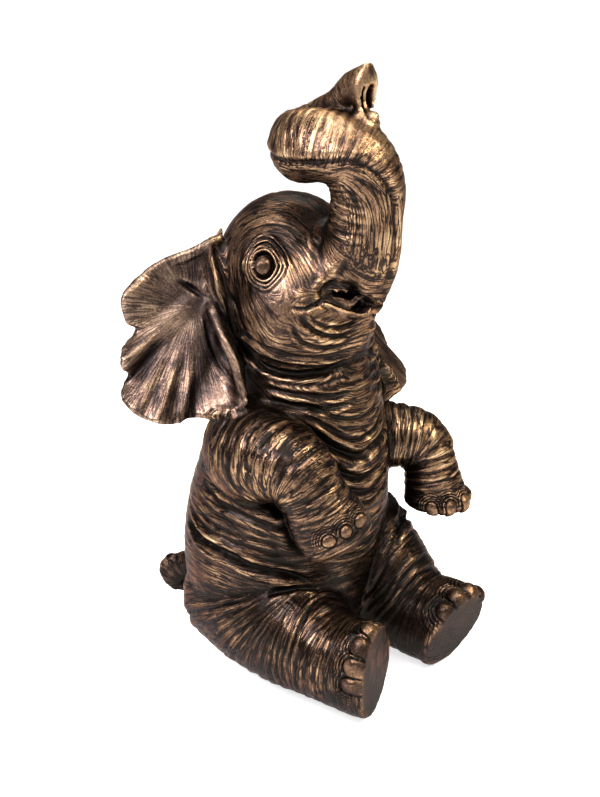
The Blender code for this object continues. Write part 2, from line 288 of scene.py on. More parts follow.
def stroke_reach(skin, places, margin):
    """The points near a stroke over the skin: which, how far off, how far along, which side."""
    path, facing, heading, which = laid_on(skin, places, margin)
    offset = skin.at[which, None, :] - path[None, :, :]
    squared = (offset ** 2).sum(2)
    near = squared.argmin(axis=1)
    offset = offset[np.arange(len(which)), near]
    apart = np.sqrt(squared.min(axis=1))
    side = np.sign((np.cross(heading[near], facing[near]) * offset).sum(1))
    keep = ((skin.out[which] * facing[near]).sum(1) > 0.0) & (apart < margin)
    return {"which": which[keep], "apart": apart[keep], "along": (near / (len(path) - 1))[keep],
            "side": side[keep]}


# ---------------- the skin to start from

def flipped(row):
    """A row of balls on the other side."""
    return [(-x, y, z, radius) for x, y, z, radius in row]


LOWER_LIP_EDGE = [(-5.1, -8.2, 41.8, 0.32), (-4.2, -8.9, 41.3, 0.38), (-2.7, -9.6, 40.5, 0.42),
                  (-1.2, -10.4, 40.0, 0.42)]
LOWER_LIP_FRONT = [(-0.4, -10.8, 40.4, 0.35)]
UPPER_LIP = [(-5.7, -6.9, 42.4, 1.2), (-4.9, -7.4, 42.4, 1.3), (-4.0, -8.0, 43.2, 1.3)]
CLAY = {                                 # rows of balls added before the skin is remeshed
    "inside_of_the_mouth": [(0.0, -6.6, 41.8, 1.6), (0.1, -8.5, 41.7, 1.5), (0.4, -10.0, 41.3, 1.1)],
    "tongue": [(-4.0, -8.6, 42.2, 0.40), (-3.0, -9.2, 41.7, 0.42), (-2.1, -9.8, 41.25, 0.42),
               (-1.5, -10.2, 41.8, 0.35), (-1.1, -10.4, 41.9, 0.30)],
    "right_lower_lip": LOWER_LIP_EDGE + LOWER_LIP_FRONT,
    "left_lower_lip": flipped(LOWER_LIP_EDGE) + LOWER_LIP_FRONT,
    "right_upper_lip": UPPER_LIP,
    "left_upper_lip": flipped(UPPER_LIP),
    "front_of_upper_lip": [(-0.2, -10.9, 42.3, 1.0), (0.5, -11.0, 41.6, 0.9)],
    "knob_below_the_trunk_tip": [(0.1, -9.8, 58.4, 0.55), (0.2, -10.4, 58.3, 0.6)],
    "tail_tuft": [(-2.9, 14.2, 6.3, 0.8), (-3.0, 14.9, 5.1, 0.8), (-2.7, 14.4, 3.8, 0.8),
                  (-1.8, 13.5, 3.2, 0.8)],
    "right_ear_tip": [(-6.3, 2.8, 46.0, 0.4), (-5.8, 2.9, 46.9, 0.12)],
}


def add_clay(piece):
    """Joins rows of balls to the piece, for the remesh to melt into it."""
    balls = []
    for name, row in CLAY.items():
        for x, y, z, radius in smooth_path(row, 9):
            place = np.array((x, y, z)) * CM + ORIGIN
            bpy.ops.mesh.primitive_ico_sphere_add(subdivisions=2, radius=radius * CM, location=place)
            ball = bpy.context.active_object
            ball.name = name
            balls.append(ball)
    only_select(piece)
    for ball in balls:
        ball.select_set(True)
    bpy.ops.object.join()


def only_select(piece):
    """Selects the piece and nothing else, and makes it the active one."""
    bpy.ops.object.select_all(action="DESELECT")
    piece.select_set(True)
    bpy.context.view_layer.objects.active = piece


def apply_modifier(piece, kind, **settings):
    """Adds a modifier with the settings and applies it."""
    modifier = piece.modifiers.new(kind.lower(), kind)
    for name, value in settings.items():
        setattr(modifier, name, value)
    bpy.ops.object.modifier_apply(modifier=modifier.name)


def fine_skin():
    """A finely remeshed copy of the casting's plain solid."""
    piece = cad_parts[NODE].copy()
    piece.data = piece.data.copy()
    piece.name = piece.data.name = "bronze_elephant"
    bpy.context.scene.collection.objects.link(piece)
    piece.parent = None
    only_select(piece)
    bpy.ops.object.mode_set(mode="EDIT")
    bpy.ops.mesh.select_all(action="SELECT")
    bpy.ops.mesh.remove_doubles(threshold=SAME_POINT)
    bpy.ops.object.mode_set(mode="OBJECT")
    add_clay(piece)
    apply_modifier(piece, "REMESH", mode="VOXEL", voxel_size=SKIN_GRID)
    return piece


def refine(piece, spots):
    """Splits the skin finer within a reach of each spot, for detail smaller than the grid."""
    only_select(piece)
    bpy.ops.object.mode_set(mode="EDIT")
    bpy.ops.mesh.select_all(action="DESELECT")
    bpy.ops.object.mode_set(mode="OBJECT")
    points = points_of(piece.data)
    close = np.zeros(len(points), bool)
    for place, reach in spots:
        close |= ((points - np.asarray(place)) ** 2).sum(1) < reach ** 2
    chosen = [bool(close[list(face.vertices)].all()) for face in piece.data.polygons]
    piece.data.polygons.foreach_set("select", chosen)
    bpy.ops.object.mode_set(mode="EDIT")
    bpy.ops.mesh.subdivide(number_cuts=1)
    bpy.ops.mesh.select_all(action="SELECT")
    bpy.ops.mesh.quads_convert_to_tris()
    bpy.ops.object.mode_set(mode="OBJECT")


# ---------------- folds and wrinkles

LAYERS = (("torso", "right_ear", "left_ear"),
          ("right_leg", "left_leg", "right_arm", "left_arm", "trunk", "tail"),
          ("head",))
chance = np.random.default_rng(SEED)


class Relief:
    """Heights worked into the skin, and the phases that its wrinkles follow.

    Wrinkles run where a phase is constant. There is one phase for the torso and ears, one for
    the limbs and trunk, and one for the head, and each point has a share of each.
    """

    def __init__(self, skin, phases, weights):
        self.skin = skin
        self.height = np.zeros(skin.count)
        self.shares = np.stack([sum(weights[name] for name in names) for names in LAYERS], axis=1)
        self.phases = np.stack([sum(weights[name] * phases[name] for name in names)
                                for names in LAYERS], axis=1)
        self.phases /= np.maximum(self.shares, 1e-3)
        # along its flanks the trunk's lines run lengthwise, on the torso's phase
        trunk = weights["trunk"] > 0.5
        self.phases[trunk, 0] = phases["round_trunk"][trunk]
        moved = phases["trunk_flank"] * weights["trunk"]
        self.shares[:, 0] += moved
        self.shares[:, 1] -= moved

    def lean(self, near, share):
        """Turns the phases near a stroke so that wrinkles run beside it."""
        if share.sum() < 1e-6:
            return
        offset = near["side"] * near["apart"]
        for layer in range(len(LAYERS)):
            here = self.phases[near["which"], layer]
            middle = (share * here).sum() / share.sum()
            way = np.sign((share * offset * (here - middle)).sum())
            self.phases[near["which"], layer] = here * (1 - share) + share * (middle + way * offset)

    def fold(self, places, width, depth, lips=0.35, lean=0.8, taper=0.22):
        """A groove pressed along a stroke, with raised lips and tapered ends."""
        near = stroke_reach(self.skin, places, 4 * width)
        apart, along = near["apart"], near["along"]
        ends = smooth_step(0, taper, along) * smooth_step(0, taper, 1 - along)
        groove = -bell(apart, width) + lips * bell(apart - 1.8 * width, 0.9 * width)
        self.height[near["which"]] += ends * depth * groove
        self.lean(near, lean * ends * bell(apart, 2.2 * width))

    def ridge(self, places, width, rise, lean=0.8):
        """A raised cord of skin along a stroke."""
        near = stroke_reach(self.skin, places, 3 * width)
        ends = smooth_step(0, 0.15, near["along"]) * smooth_step(0, 0.15, 1 - near["along"])
        self.height[near["which"]] += rise * ends * bell(near["apart"], width)
        self.lean(near, lean * ends * bell(near["apart"], 2 * width))

    def fan(self, first, last, count, width, depth, lips=0.35, stray=0.25):
        """A row of folds between two strokes, each a little astray."""
        first, last = np.asarray(first, float), np.asarray(last, float)
        for n in range(count):
            share = n / max(count - 1, 1)
            places = first + (last - first) * share
            places = places + chance.uniform(-stray, stray, places.shape)
            vary = chance.uniform(0.7, 1.3)
            self.fold(places, width * vary, depth * vary, lips, lean=0.3)


def mirrored(places, side):
    """The places as given for side 1, and on the other side for -1."""
    return np.asarray(places, float) * (side, 1, 1)


# ---------------- what each part carries

EYE = (7.45, -3.8, 45.0)                 # on the left, mirrored for the right
EYE_FACES = (0.78, -0.58, 0.22)
EYE_FINE, MOUTH_FINE, NAIL_FINE = 3.2, 4.2, 1.9  # reach round each that the skin is split finer
LIDS = (                                 # distance out, width, rise, share above, share below
    (0.88, 0.11, -0.50, 1.0, 0.8), (1.10, 0.10, 0.34, 1.0, 0.5), (1.28, 0.07, -0.26, 1.0, 0.8),
    (1.42, 0.08, 0.16, 0.8, 0.8), (1.58, 0.07, -0.20, 0.9, 0.7), (1.74, 0.09, 0.12, 0.7, 0.9),
    (1.92, 0.08, -0.16, 1.0, 0.6), (2.16, 0.20, 0.26, 1.0, 0.15))
BELOW_EYE = (7.2, -5.2, 42.3)
CHEEK = (6.3, -6.2, 40.6)
MOUTH = (0.0, -9.4, 40.9)
MOUTH_CORNER = (5.6, -8.2, 41.3)
CHIN_SHIFT = 0.85                        # sets the chin's arcs in step with the cheek's
TRUNK_ROOT = (3.4, -9.6, 45.4)
LOWER_LIP = (2.6, -9.8, 40.8)
TRUNK_TIP = (0.3, -9.9, 59.6)
EAR_CORNER = (10.6, -0.8, 31.6)
GROINS = {                               # y, z where the thigh's folds meet, y from and to rings
    "right_leg": (-9.0, 14.2, -7.5, -11.5), "left_leg": (-9.0, 15.5, -4.0, -8.0)}
GROIN_REACH = 10.0                       # how far out the thigh's folds keep their spacing
EAR_REACH = 8.0                          # the same for the lines that spread over an ear
EARS = {                                 # hinge, the way it faces, side
    "right_ear": ((-10.5, 2.0, 40.5), (-0.60, -0.74, 0.31), -1),
    "left_ear": ((8.2, 1.5, 40.5), (0.45, -0.80, 0.35), 1),
}
EAR_FLUTES = {                           # angle, width in degrees, rise
    "right_ear": [(-40, 9, -0.25), (-14, 12, 0.35), (22, 6, -0.45), (33, 5, 0.40), (44, 4, -0.35),
                  (54, 5, 0.25), (61, 3, -0.15), (67, 4, 0.40), (75, 4, -0.28), (82, 4, 0.22),
                  (87, 3, -0.15), (94, 6, 0.20), (108, 4, -0.20)],
    "left_ear": [(-20, 10, 0.3), (10, 10, -0.4), (34, 8, 0.4), (52, 6, -0.35), (66, 6, 0.35),
                 (80, 6, -0.3), (92, 6, 0.3), (106, 6, -0.3)],
}
EAR_NOTCHES = [(17, 5, 0.75), (41, 4, 0.55)]     # angle, width in degrees, depth, on both ears
RIB_PITCH = 0.66                         # from one rib of the trunk's pad to the next
TRUNK_PAD = [                            # the way that the ribbed pad faces at each trunk station
    (0.95, -0.3, 0.0), (0.97, -0.25, 0.0), (0.97, -0.25, 0.0), (0.85, -0.45, 0.3), (0.2, -0.5, 0.8),
    (-0.5, -0.15, 0.87), (-0.5, 0.05, 0.87), (-0.3, 0.4, 0.87), (0.25, 0.4, 0.87),
    (0.6, 0.0, 0.8), (0.3, -0.5, -0.8), (0.0, -0.3, -1.0), (0.0, -0.3, -1.0)]
PAD_BEGINS = 8.0                         # how far along the trunk its pad is ribbed
PAD_EDGE = 62                            # degrees from the pad's middle to its rolled rim
TRUNK_GIRTH = 3.4                        # usual radius of the trunk's column
NAIL = 1.0                               # how far out of its toe a nail's middle is set
SOLE_EDGE = 1.2                          # nails set back less than this run on to the sole's edge
NAIL_SIZE = {"right_leg": 0.86, "left_leg": 0.86, "right_arm": 0.62, "left_arm": 0.62}
FEET = {                                 # the way the limb's front faces, nails' setback and turns
    "right_leg": ((0, 0, 1), 0.45, (8, 34, 59, 82)),
    "left_leg": ((0, 0, 1), 0.45, (-42, -14, 12, 36)),
    "right_arm": ((-0.6, -0.5, 0.5), 1.30, (-44, -12, 20)),
    "left_arm": ((0.0, -1.0, 0.6), 1.00, (-4, 28, 62)),
}


def polar_on(at, hinge, faces, side):
    """Distance and angle of points round a hinge, in the plane that faces the given way.

    The angle is 0 outwards, away from the head, and grows downwards.
    """
    faces = unit(faces)
    level = unit(np.cross(faces, (0, 0, 1)))
    level = level * np.sign(level[0] * side)
    down = np.cross(faces, level)
    down = down * -np.sign(down[2])
    offset = at - np.asarray(hinge)
    a, b = offset @ level, offset @ down
    return np.hypot(a, b), np.degrees(np.arctan2(b, a))


def pad_turn(reach):
    """Degrees round the trunk from the middle of its pad."""
    front = smooth_path(TRUNK_PAD)[reach["near"]]
    front = unit(front - reach["heading"] * (front * reach["heading"]).sum(1)[:, None])
    return np.degrees(np.arccos(np.clip((unit(reach["across"]) * front).sum(1), -1, 1)))


def wrinkle_phases(skin, reach):
    """For each part, a measure that the wrinkles follow at a constant value.

    trunk_flank is how much the trunk's lines run lengthwise, at a constant round_trunk.
    """
    at = skin.at
    turn = np.minimum(np.abs(np.arctan2(at[:, 0], -(at[:, 1] + 1.2))), 1.6)
    sag = 0.5 + 1.6 * smooth_step(14, 30, at[:, 2])
    phases = {"torso": at[:, 2] - sag * turn ** 2}
    for name in ("right_arm", "left_arm", "tail"):
        phases[name] = reach[name]["along"]
    for name, (y, z, begins, ends) in GROINS.items():
        fan = np.arctan2(z - at[:, 2], at[:, 1] - y) % math.tau
        low = smooth_step(begins, ends, at[:, 1])
        phases[name] = GROIN_REACH * fan * (1 - low) + (reach[name]["along"] + 4.0) * low
    trunk = reach["trunk"]
    along, turn = trunk["along"], pad_turn(trunk)
    off_pad = smooth_step(PAD_EDGE + 10, PAD_EDGE + 30, turn)
    before_pad = smooth_step(PAD_BEGINS + 0.5, PAD_BEGINS - 1.0, along)
    off_back = smooth_step(165, 145, turn)
    phases["trunk"] = along
    phases["trunk_flank"] = (np.maximum(off_pad, before_pad) * off_back
                             * smooth_step(2, 5, along) * smooth_step(24, 20, along))
    phases["round_trunk"] = np.radians(turn) * TRUNK_GIRTH
    flip = np.where(at[:, :1] < 0, (-1, 1, 1), (1, 1, 1))
    start = flip * EYE
    span = flip * np.subtract(CHEEK, EYE)
    share = np.clip(((at - start) * span).sum(1) / (span ** 2).sum(1), 0, 1)
    eye_arcs = np.linalg.norm(at - start - span * share[:, None], axis=1)
    mouth_line = np.tile(MOUTH_CORNER, (len(at), 1))
    mouth_line[:, 0] = np.clip(at[:, 0], -MOUTH_CORNER[0], MOUTH_CORNER[0])
    mouth_arcs = np.linalg.norm(at - mouth_line, axis=1) - CHIN_SHIFT
    chin = smooth_step(-5.8, -8.2, at[:, 1]) * smooth_step(43.4, 42.2, at[:, 2])
    phases["head"] = eye_arcs + chin * (mouth_arcs - eye_arcs)
    for name, (hinge, faces, side) in EARS.items():
        phases[name] = np.radians(polar_on(at, hinge, faces, side)[1]) * EAR_REACH
    return phases


def model_ears(skin, relief, weights):
    """The flutes that spread from each ear's hinge, its rolled rim and the fold at its root."""
    for name, (hinge, faces, side) in EARS.items():
        far, angle = polar_on(skin.at, hinge, faces, side)
        mine = weights[name] > 0.5
        sector = (angle // 4).astype(int) % 90
        rim = np.zeros(90)
        np.maximum.at(rim, sector[mine], far[mine])
        rim = 0.5 * rim + 0.25 * (np.roll(rim, 1) + np.roll(rim, -1))
        inset = rim[sector] - far
        relief.height += weights[name] * (0.06 * bell(inset - 0.15, 0.22) - 0.05 * bell(inset - 0.65, 0.25))
        lift = sum(rise * bell(angle - middle, width) for middle, width, rise in EAR_FLUTES[name])
        lift = lift * smooth_step(3.0, 9.0, far) * weights[name]
        inwards = unit(np.asarray(hinge) - skin.at)
        pull = sum(depth * bell(angle - middle, width) for middle, width, depth in EAR_NOTCHES)
        pull = pull * smooth_step(3.5, 0.0, inset) * weights[name]
        skin.at += lift[:, None] * unit(faces) + pull[:, None] * inwards
    skin.turn_out()
    relief.fold([(-10.4, 4.6, 42.8), (-9.8, 4.2, 42.2), (-9.2, 3.7, 41.7), (-8.8, 2.9, 41.1),
                 (-8.6, 2.3, 40.6)], 0.26, 0.60, 0.15, taper=0.5)
    relief.fold([(-9.0, 2.2, 40.0), (-9.3, 1.8, 38.8), (-9.4, 1.2, 37.0), (-9.6, 0.0, 34.9),
                 (-10.6, -2.2, 33.2)], 0.24, 0.22, 0.4)


def model_trunk(skin, relief, reach, weights):
    """The ribbed pad, its rolled rims with a groove beside each, and the folds at the back."""
    trunk = reach["trunk"]
    along, turn = trunk["along"], pad_turn(trunk)
    share = weights["trunk"] * smooth_step(0.0, 3.0, along) * smooth_step(26.0, 22.0, along)
    rib = np.abs(np.sin(np.pi * along / RIB_PITCH)) ** 0.7 - 0.6
    on_pad = smooth_step(PAD_EDGE, PAD_EDGE - 14, turn)
    ribs = 0.13 * rib * on_pad * smooth_step(PAD_BEGINS, PAD_BEGINS + 1.5, along)
    edge = 0.16 * bell(turn - PAD_EDGE, 11) - 0.24 * bell(turn - PAD_EDGE - 15, 5)
    back = smooth_step(122, 138, turn) * smooth_step(2.5, 5.0, along) * smooth_step(12.5, 9.5, along)
    stray = 0.35 * cloud(skin.at, 2.0, 21)
    rings = 0.20 * (np.abs(np.sin(np.pi * (along / 0.85 + stray))) ** 0.6 - 0.62)
    relief.height += share * (ribs + edge + back * rings)


def model_eye(skin, relief, side):
    """An eyeball in a ring of lids, with folds above and below it. Returns where the ball is."""
    faces = unit(mirrored(EYE_FACES, side))
    level = unit(np.cross((0, 0, 1), faces)) * side
    over = np.cross(faces, level) * side
    offset = skin.at - mirrored(EYE, side)
    near = (offset @ faces) > -2.5
    a, b = offset @ level, offset @ over
    above = smooth_step(-0.9, 0.5, b)
    out = np.hypot(a, b / 1.2)
    corner = np.abs(a * b) / (out + 0.4) * smooth_step(0.0, -1.2, a)
    out = out + smooth_step(0.7, 1.4, out) * (0.12 * a + 0.28 * corner - 0.12 * (1 - above))
    lift = 0.32 * np.sqrt(np.clip(1 - (out / 0.80) ** 2, 0, 1))
    for middle, width, rise, up, down in LIDS:
        lift += rise * bell(out - middle, width) * (up * above + down * (1 - above))
    lift *= 1 - 0.4 * smooth_step(0.8, 1.8, a)
    relief.height += lift * smooth_step(3.6, 3.0, out) * near
    return smooth_step(0.95, 0.75, out) * near


def model_face(relief):
    """The folds round the mouth, below the eye and along the jaw, on the right and mirrored."""
    for side in (1, -1):
        def at(*places):
            return mirrored(places, side)
        # the edge where the trunk's root turns under
        relief.fold(at((-5.6, -8.6, 42.6), (-4.9, -9.0, 43.1), (-4.2, -9.6, 43.9), (-3.7, -10.2, 45.2),
                       (-3.4, -10.4, 46.6)), 0.42, 0.34, 0.0, lean=0.3, taper=0.4)
        # the hollow over the mouth, the thin lip below it and the tongue's edge
        relief.fold(at((-5.4, -8.5, 42.5), (-4.3, -9.5, 43.0), (-3.2, -10.4, 43.3), (-1.9, -10.9, 43.1)),
                    0.75, 0.60, 0.0, lean=0.3)
        relief.ridge(at((-5.2, -8.5, 41.9), (-4.2, -9.3, 41.4), (-2.7, -10.0, 40.6), (-1.3, -10.7, 40.1),
                        (-0.5, -11.0, 40.5)), 0.13, 0.24, 0.9)
        relief.fold(at((-7.2, -6.8, 41.6), (-6.6, -7.6, 41.3), (-5.9, -8.1, 41.5), (-5.2, -8.5, 41.9),
                       (-4.6, -8.8, 42.1)), 0.18, 0.36, 0.15)
        for arc, width, depth in (
                (((-6.0, -8.2, 40.7), (-5.5, -8.8, 39.9), (-4.2, -9.3, 39.3), (-2.6, -9.7, 39.1),
                  (-1.0, -10.1, 39.3)), 0.20, 0.24),
                (((-6.7, -7.5, 41.0), (-6.3, -8.1, 39.8), (-5.3, -8.9, 38.9), (-3.9, -9.4, 38.3),
                  (-2.2, -9.7, 38.2), (-0.6, -9.9, 38.5)), 0.26, 0.30),
                (((-7.2, -7.0, 40.6), (-7.0, -7.3, 39.0), (-6.1, -8.0, 37.9), (-4.4, -9.0, 37.3),
                  (-2.4, -9.3, 37.1), (-0.6, -9.6, 37.2)), 0.22, 0.20)):
            relief.fold(at(*arc), width, depth, 0.5, lean=0.0)
        band = at((-6.9, 2.7, 46.2), (-7.5, 2.6, 44.8), (-7.5, 2.2, 43.0), (-7.6, 1.4, 41.0),
                  (-7.8, 0.2, 38.9), (-7.9, -2.2, 37.3), (-7.3, -5.3, 36.3), (-5.2, -7.7, 35.7),
                  (-2.1, -8.9, 35.5), (0.0, -9.3, 35.9))
        relief.ridge(band, 0.30, 0.38)
        relief.fold(band + at((0.1, -0.5, 0.7)), 0.20, 0.18, 0.3)
        relief.fold(at((-7.6, 1.4, 39.4), (-7.4, 0.0, 37.6), (-7.2, -2.6, 35.2), (-6.4, -5.2, 34.4),
                       (-4.2, -7.6, 34.3), (-1.0, -8.9, 34.9)), 0.40, 0.65, 0.3)
        relief.fan(at((-7.0, -2.6, 33.9), (-5.8, -5.6, 33.2), (-3.6, -7.9, 33.2), (-1.0, -9.0, 33.8)),
                   at((-7.0, -4.0, 31.8), (-5.8, -6.4, 31.4), (-3.8, -8.6, 31.0), (-1.0, -9.6, 31.4)),
                   3, 0.28, 0.24, 0.5)


def model_body_folds(relief):
    """Folds that hang across the chest, below the arms, at the waist and down the back."""
    for places, width, depth in (
            (((-6.4, -6.2, 32.2), (-4.5, -8.6, 30.6), (-2.3, -9.9, 29.6), (0.0, -10.3, 29.4),
              (2.2, -10.1, 30.3)), 0.26, 0.22),
            (((-6.6, -6.6, 31.0), (-4.6, -8.9, 29.3), (-2.6, -10.0, 27.9), (-0.6, -10.7, 27.5),
              (1.8, -10.5, 28.1), (3.6, -9.9, 29.4)), 0.24, 0.24),
            (((-8.8, -5.2, 31.2), (-7.0, -7.4, 30.0), (-5.2, -9.0, 28.2), (-4.0, -9.7, 26.9),
              (-1.4, -10.8, 25.8), (1.0, -10.8, 26.3), (3.4, -10.0, 27.2), (4.4, -9.4, 28.8)), 0.42, 0.60),
            (((-4.6, -9.5, 25.4), (-3.2, -10.3, 24.2), (-1.2, -10.9, 23.4), (0.9, -10.9, 23.5),
              (2.9, -10.4, 24.5), (4.0, -9.9, 25.9)), 0.38, 0.50),
            (((-4.2, -9.8, 23.5), (-2.6, -10.6, 22.4), (-0.6, -11.0, 21.6), (1.4, -10.8, 21.9),
              (3.5, -10.1, 23.1)), 0.28, 0.30),
            (((-3.4, -10.3, 21.6), (-1.2, -10.9, 20.4), (1.2, -10.8, 20.5), (3.6, -10.0, 21.5)), 0.24, 0.24)):
        relief.fold(places, width, depth, 0.45)
    relief.fan([(-5.6, -9.3, 19.6), (-2.6, -10.7, 18.8), (0.6, -10.9, 18.4), (3.6, -10.0, 19.0)],
               [(-5.8, -8.8, 15.6), (-2.6, -10.4, 14.8), (0.6, -10.6, 14.6), (3.6, -9.8, 15.2)],
               4, 0.24, 0.20, 0.5)
    for side in (-1, 1):
        for places, width, depth in (
                (((10.0, 3.6, 21.8), (9.8, 0.6, 20.5), (9.8, -1.9, 20.1), (8.9, -5.3, 19.3),
                  (7.4, -7.6, 19.0)), 0.36, 0.30),
                (((7.6, 6.9, 18.6), (10.1, 2.6, 17.6), (10.3, -2.3, 17.0), (9.0, -5.4, 16.6),
                  (6.6, -8.3, 16.0)), 0.28, 0.16),
                (((8.6, 6.2, 17.2), (10.3, 2.2, 15.9), (10.4, -1.7, 15.4), (9.8, -3.8, 14.7),
                  (7.6, -7.1, 13.8), (5.4, -8.8, 12.4)), 0.45, 0.75),
                (((9.3, -5.4, 11.8), (8.2, -6.6, 12.3), (6.8, -7.8, 12.4), (5.4, -8.9, 11.7)), 0.32, 0.40)):
            relief.fold(mirrored(places, side), width, depth, 0.4, lean=0.3)
        upper = [(8.4, 4.6, 20.4), (10.0, 1.0, 19.4), (10.1, -2.6, 19.0), (8.0, -6.8, 18.2)]
        lower = [(9.2, 3.8, 18.3), (10.4, 0.2, 17.9), (10.2, -3.0, 17.6), (7.6, -7.2, 17.0)]
        relief.fan(mirrored(upper, side), mirrored(lower, side), 2, 0.20, 0.08, 0.5)
    # the hollow below the right arm and behind its hand
    relief.fold([(-11.0, -3.8, 22.4), (-9.4, -4.6, 21.6), (-8.5, -5.6, 21.4), (-8.0, -6.5, 20.4),
                 (-7.8, -7.0, 18.6), (-7.2, -7.5, 17.0), (-6.0, -8.4, 15.6)], 0.50, 0.80, 0.0, lean=0.3)
    relief.fan([(-6.5, 6.4, 24.0), (-2.5, 8.2, 23.2), (2.5, 8.2, 23.2), (6.5, 6.4, 24.0)],
               [(-7.5, 7.0, 12.4), (-2.5, 9.8, 11.4), (2.5, 9.8, 11.4), (7.5, 7.0, 12.4)],
               7, 0.28, 0.16, 0.5)


def ring_limbs(skin, relief, reach, weights, lively):
    """Folds across the body and limbs: broad crests, sharp valleys, fading along their way."""
    for name, layer, pitch, depth, begins, ends in (
            ("torso", 0, 1.00, 0.07, -9, 99), ("right_leg", 1, 1.10, 0.42, -9, 18.0),
            ("left_leg", 1, 1.10, 0.38, -9, 20.0), ("right_arm", 1, 0.95, 0.38, -5.0, 16.6),
            ("left_arm", 1, 1.00, 0.38, -5.0, 14.2), ("tail", 1, 0.8, 0.16, 0.0, 99),
            ("head", 2, 1.00, 0.10, -9, 99)):
        where = weights[name] > 0.02
        at = skin.at[where]
        phase = relief.phases[where, layer]
        along = reach[name]["along"][where] if name in reach else np.zeros(where.sum())
        stray = 0.75 * cloud(at, 5.0, 3) + 0.16 * cloud(at, 1.6, 4)
        rings = 0.0
        for finer, share in ((1.0, 0.8), (1.9, 0.30)):
            turns = phase / pitch * finer + stray
            fade = 0.15 + 0.85 * smooth_step(-0.4, 0.4, grain(at, turns, 1.0, 5.0, 5))
            rings = rings + share * fade * (np.abs(np.sin(np.pi * turns)) ** 0.6 - 0.62)
        inside = smooth_step(begins, begins + 3, along) * smooth_step(ends, ends - 1.5, along)
        relief.height[where] += depth * rings * inside * weights[name][where] * lively[where]


def limb_end(name):
    """The middle of a limb's sole, and the way the limb runs there."""
    bone = np.array(ARMATURE[name])
    return bone[-1, :3], unit(bone[-1, :3] - bone[-2, :3])


def nails(name):
    """The middle of each nail of a foot or hand, and the way it faces."""
    front, setback, turns = FEET[name]
    last, along = limb_end(name)
    toes = ARMATURE[name][-1][3] - 0.35
    front = unit(front - along * (front @ along))
    side = np.cross(along, front)
    for turn in turns:
        t = math.radians(turn)
        faces = unit(front * math.cos(t) + side * math.sin(t))
        yield last - along * setback + faces * (toes + NAIL), faces


def model_feet(skin, relief, weights):
    """Toenails with their arcs of skin, and the soles. Returns how much each point is either."""
    sole = np.zeros(skin.count)
    horn = np.zeros(skin.count)
    for name, (_, setback, _) in FEET.items():
        last, along = limb_end(name)
        past = (skin.at - last) @ along
        faced = smooth_step(0.5, 0.8, skin.out @ along) * weights[name]
        sole = np.maximum(sole, smooth_step(-0.7, -0.2, past) * faced)
        relief.height *= 1 - smooth_step(-1.2, -0.6, past) * faced
        closest = np.full(skin.count, 9.0)
        behind = np.zeros(skin.count)
        for centre, faces in nails(name):
            offset = skin.at - centre
            u, v = offset @ np.cross(faces, along), offset @ along
            ahead = np.maximum(v - 0.15, 0) * (0.3 if setback < SOLE_EDGE else 1.0)
            out = np.hypot(u, np.minimum(v - 0.15, 0) + ahead) / NAIL_SIZE[name]
            mine = (out < closest) & ((offset ** 2).sum(1) < 3.4 ** 2) & (skin.out @ faces > 0.05)
            closest = np.where(mine, out, closest)
            behind = np.where(mine, smooth_step(0.7, -0.1, v), behind)
        lift = 0.14 * np.sqrt(np.clip(1 - (closest / 1.05) ** 2, 0, 1)) - 0.18 * bell(closest - 1.12, 0.09)
        for n in range(4):
            lift += behind * (0.16 * bell(closest - 1.34 - 0.40 * n, 0.13)
                              - 0.14 * bell(closest - 1.54 - 0.40 * n, 0.08)) * (1 - 0.18 * n)
        calm = smooth_step(2.9, 1.8, closest)
        relief.height = relief.height * (1 - 0.9 * calm) + lift * weights[name]
        horn = np.maximum(horn, smooth_step(1.15, 0.95, closest))
    return sole, horn


def work_grain(skin, relief, calm):
    """Fine wrinkles over all the skin, along the folds: sharp valleys and broad crests."""
    total = np.zeros(skin.count)
    for layer in range(len(LAYERS)):
        share = relief.shares[:, layer]
        where = share > 0.02
        at, phase = skin.at[where], relief.phases[where, layer]
        valleys = sum(depth * np.minimum(np.abs(grain(at, phase, across, long, seed)), 0.35)
                      for depth, across, long, seed in ((0.12, 0.8, 7.0, 11), (0.10, 0.45, 5.0, 12)))
        total[where] += share[where] * valleys
    relief.height += total * calm


# ---------------- the casting

def mark_looks(skin, relief, even, marks):
    """Writes what the bronze reads: its wrinkles' phases, their shares, and the named marks.

    Then come its ridges and hollows. Where even is near 1 the finish is even, and they hardly
    count.
    """
    skin.attribute("phases", relief.phases)
    skin.attribute("shares", relief.shares)
    for name, values in marks.items():
        skin.attribute(name, values)
    smooth = skin.at
    for name, rounds, limit in (("ridge", 5, 0.05), ("swell", 30, 0.20)):
        smooth = skin.blur(smooth, rounds)
        proud = ((skin.at - smooth) * skin.out).sum(1) * (1 - even)
        skin.attribute(name, np.clip(proud, -limit, limit))


def thin_out(piece, limit):
    """Brings the piece under the triangle limit, with the points where the shape needs them."""
    only_select(piece)
    count = sum(len(face.vertices) - 2 for face in piece.data.polygons)
    if count > limit:
        apply_modifier(piece, "DECIMATE", ratio=limit / count)


def liveliness(skin, reach, weights):
    """How much fine wrinkling each point carries, from 0 where the skin is smooth to 1."""
    lively = np.ones(skin.count)
    for spot, share, size in ((EYE, 1.0, 2.4), (CHEEK, 0.8, 3.4), (TRUNK_ROOT, 0.6, 2.6),
                              (LOWER_LIP, 0.8, 1.6), (TRUNK_TIP, 0.9, 2.6),
                              (EAR_CORNER, 0.6, 1.4)):
        for side in (-1, 1):
            lively -= share * bell(np.linalg.norm(skin.at - mirrored(spot, side), axis=1), size)
    for name in EARS:
        lively -= weights[name] * 0.6
    pad = smooth_step(PAD_EDGE + 8, PAD_EDGE - 8, pad_turn(reach["trunk"])) * weights["trunk"]
    return np.clip(lively - 0.5 * pad, 0, 1)


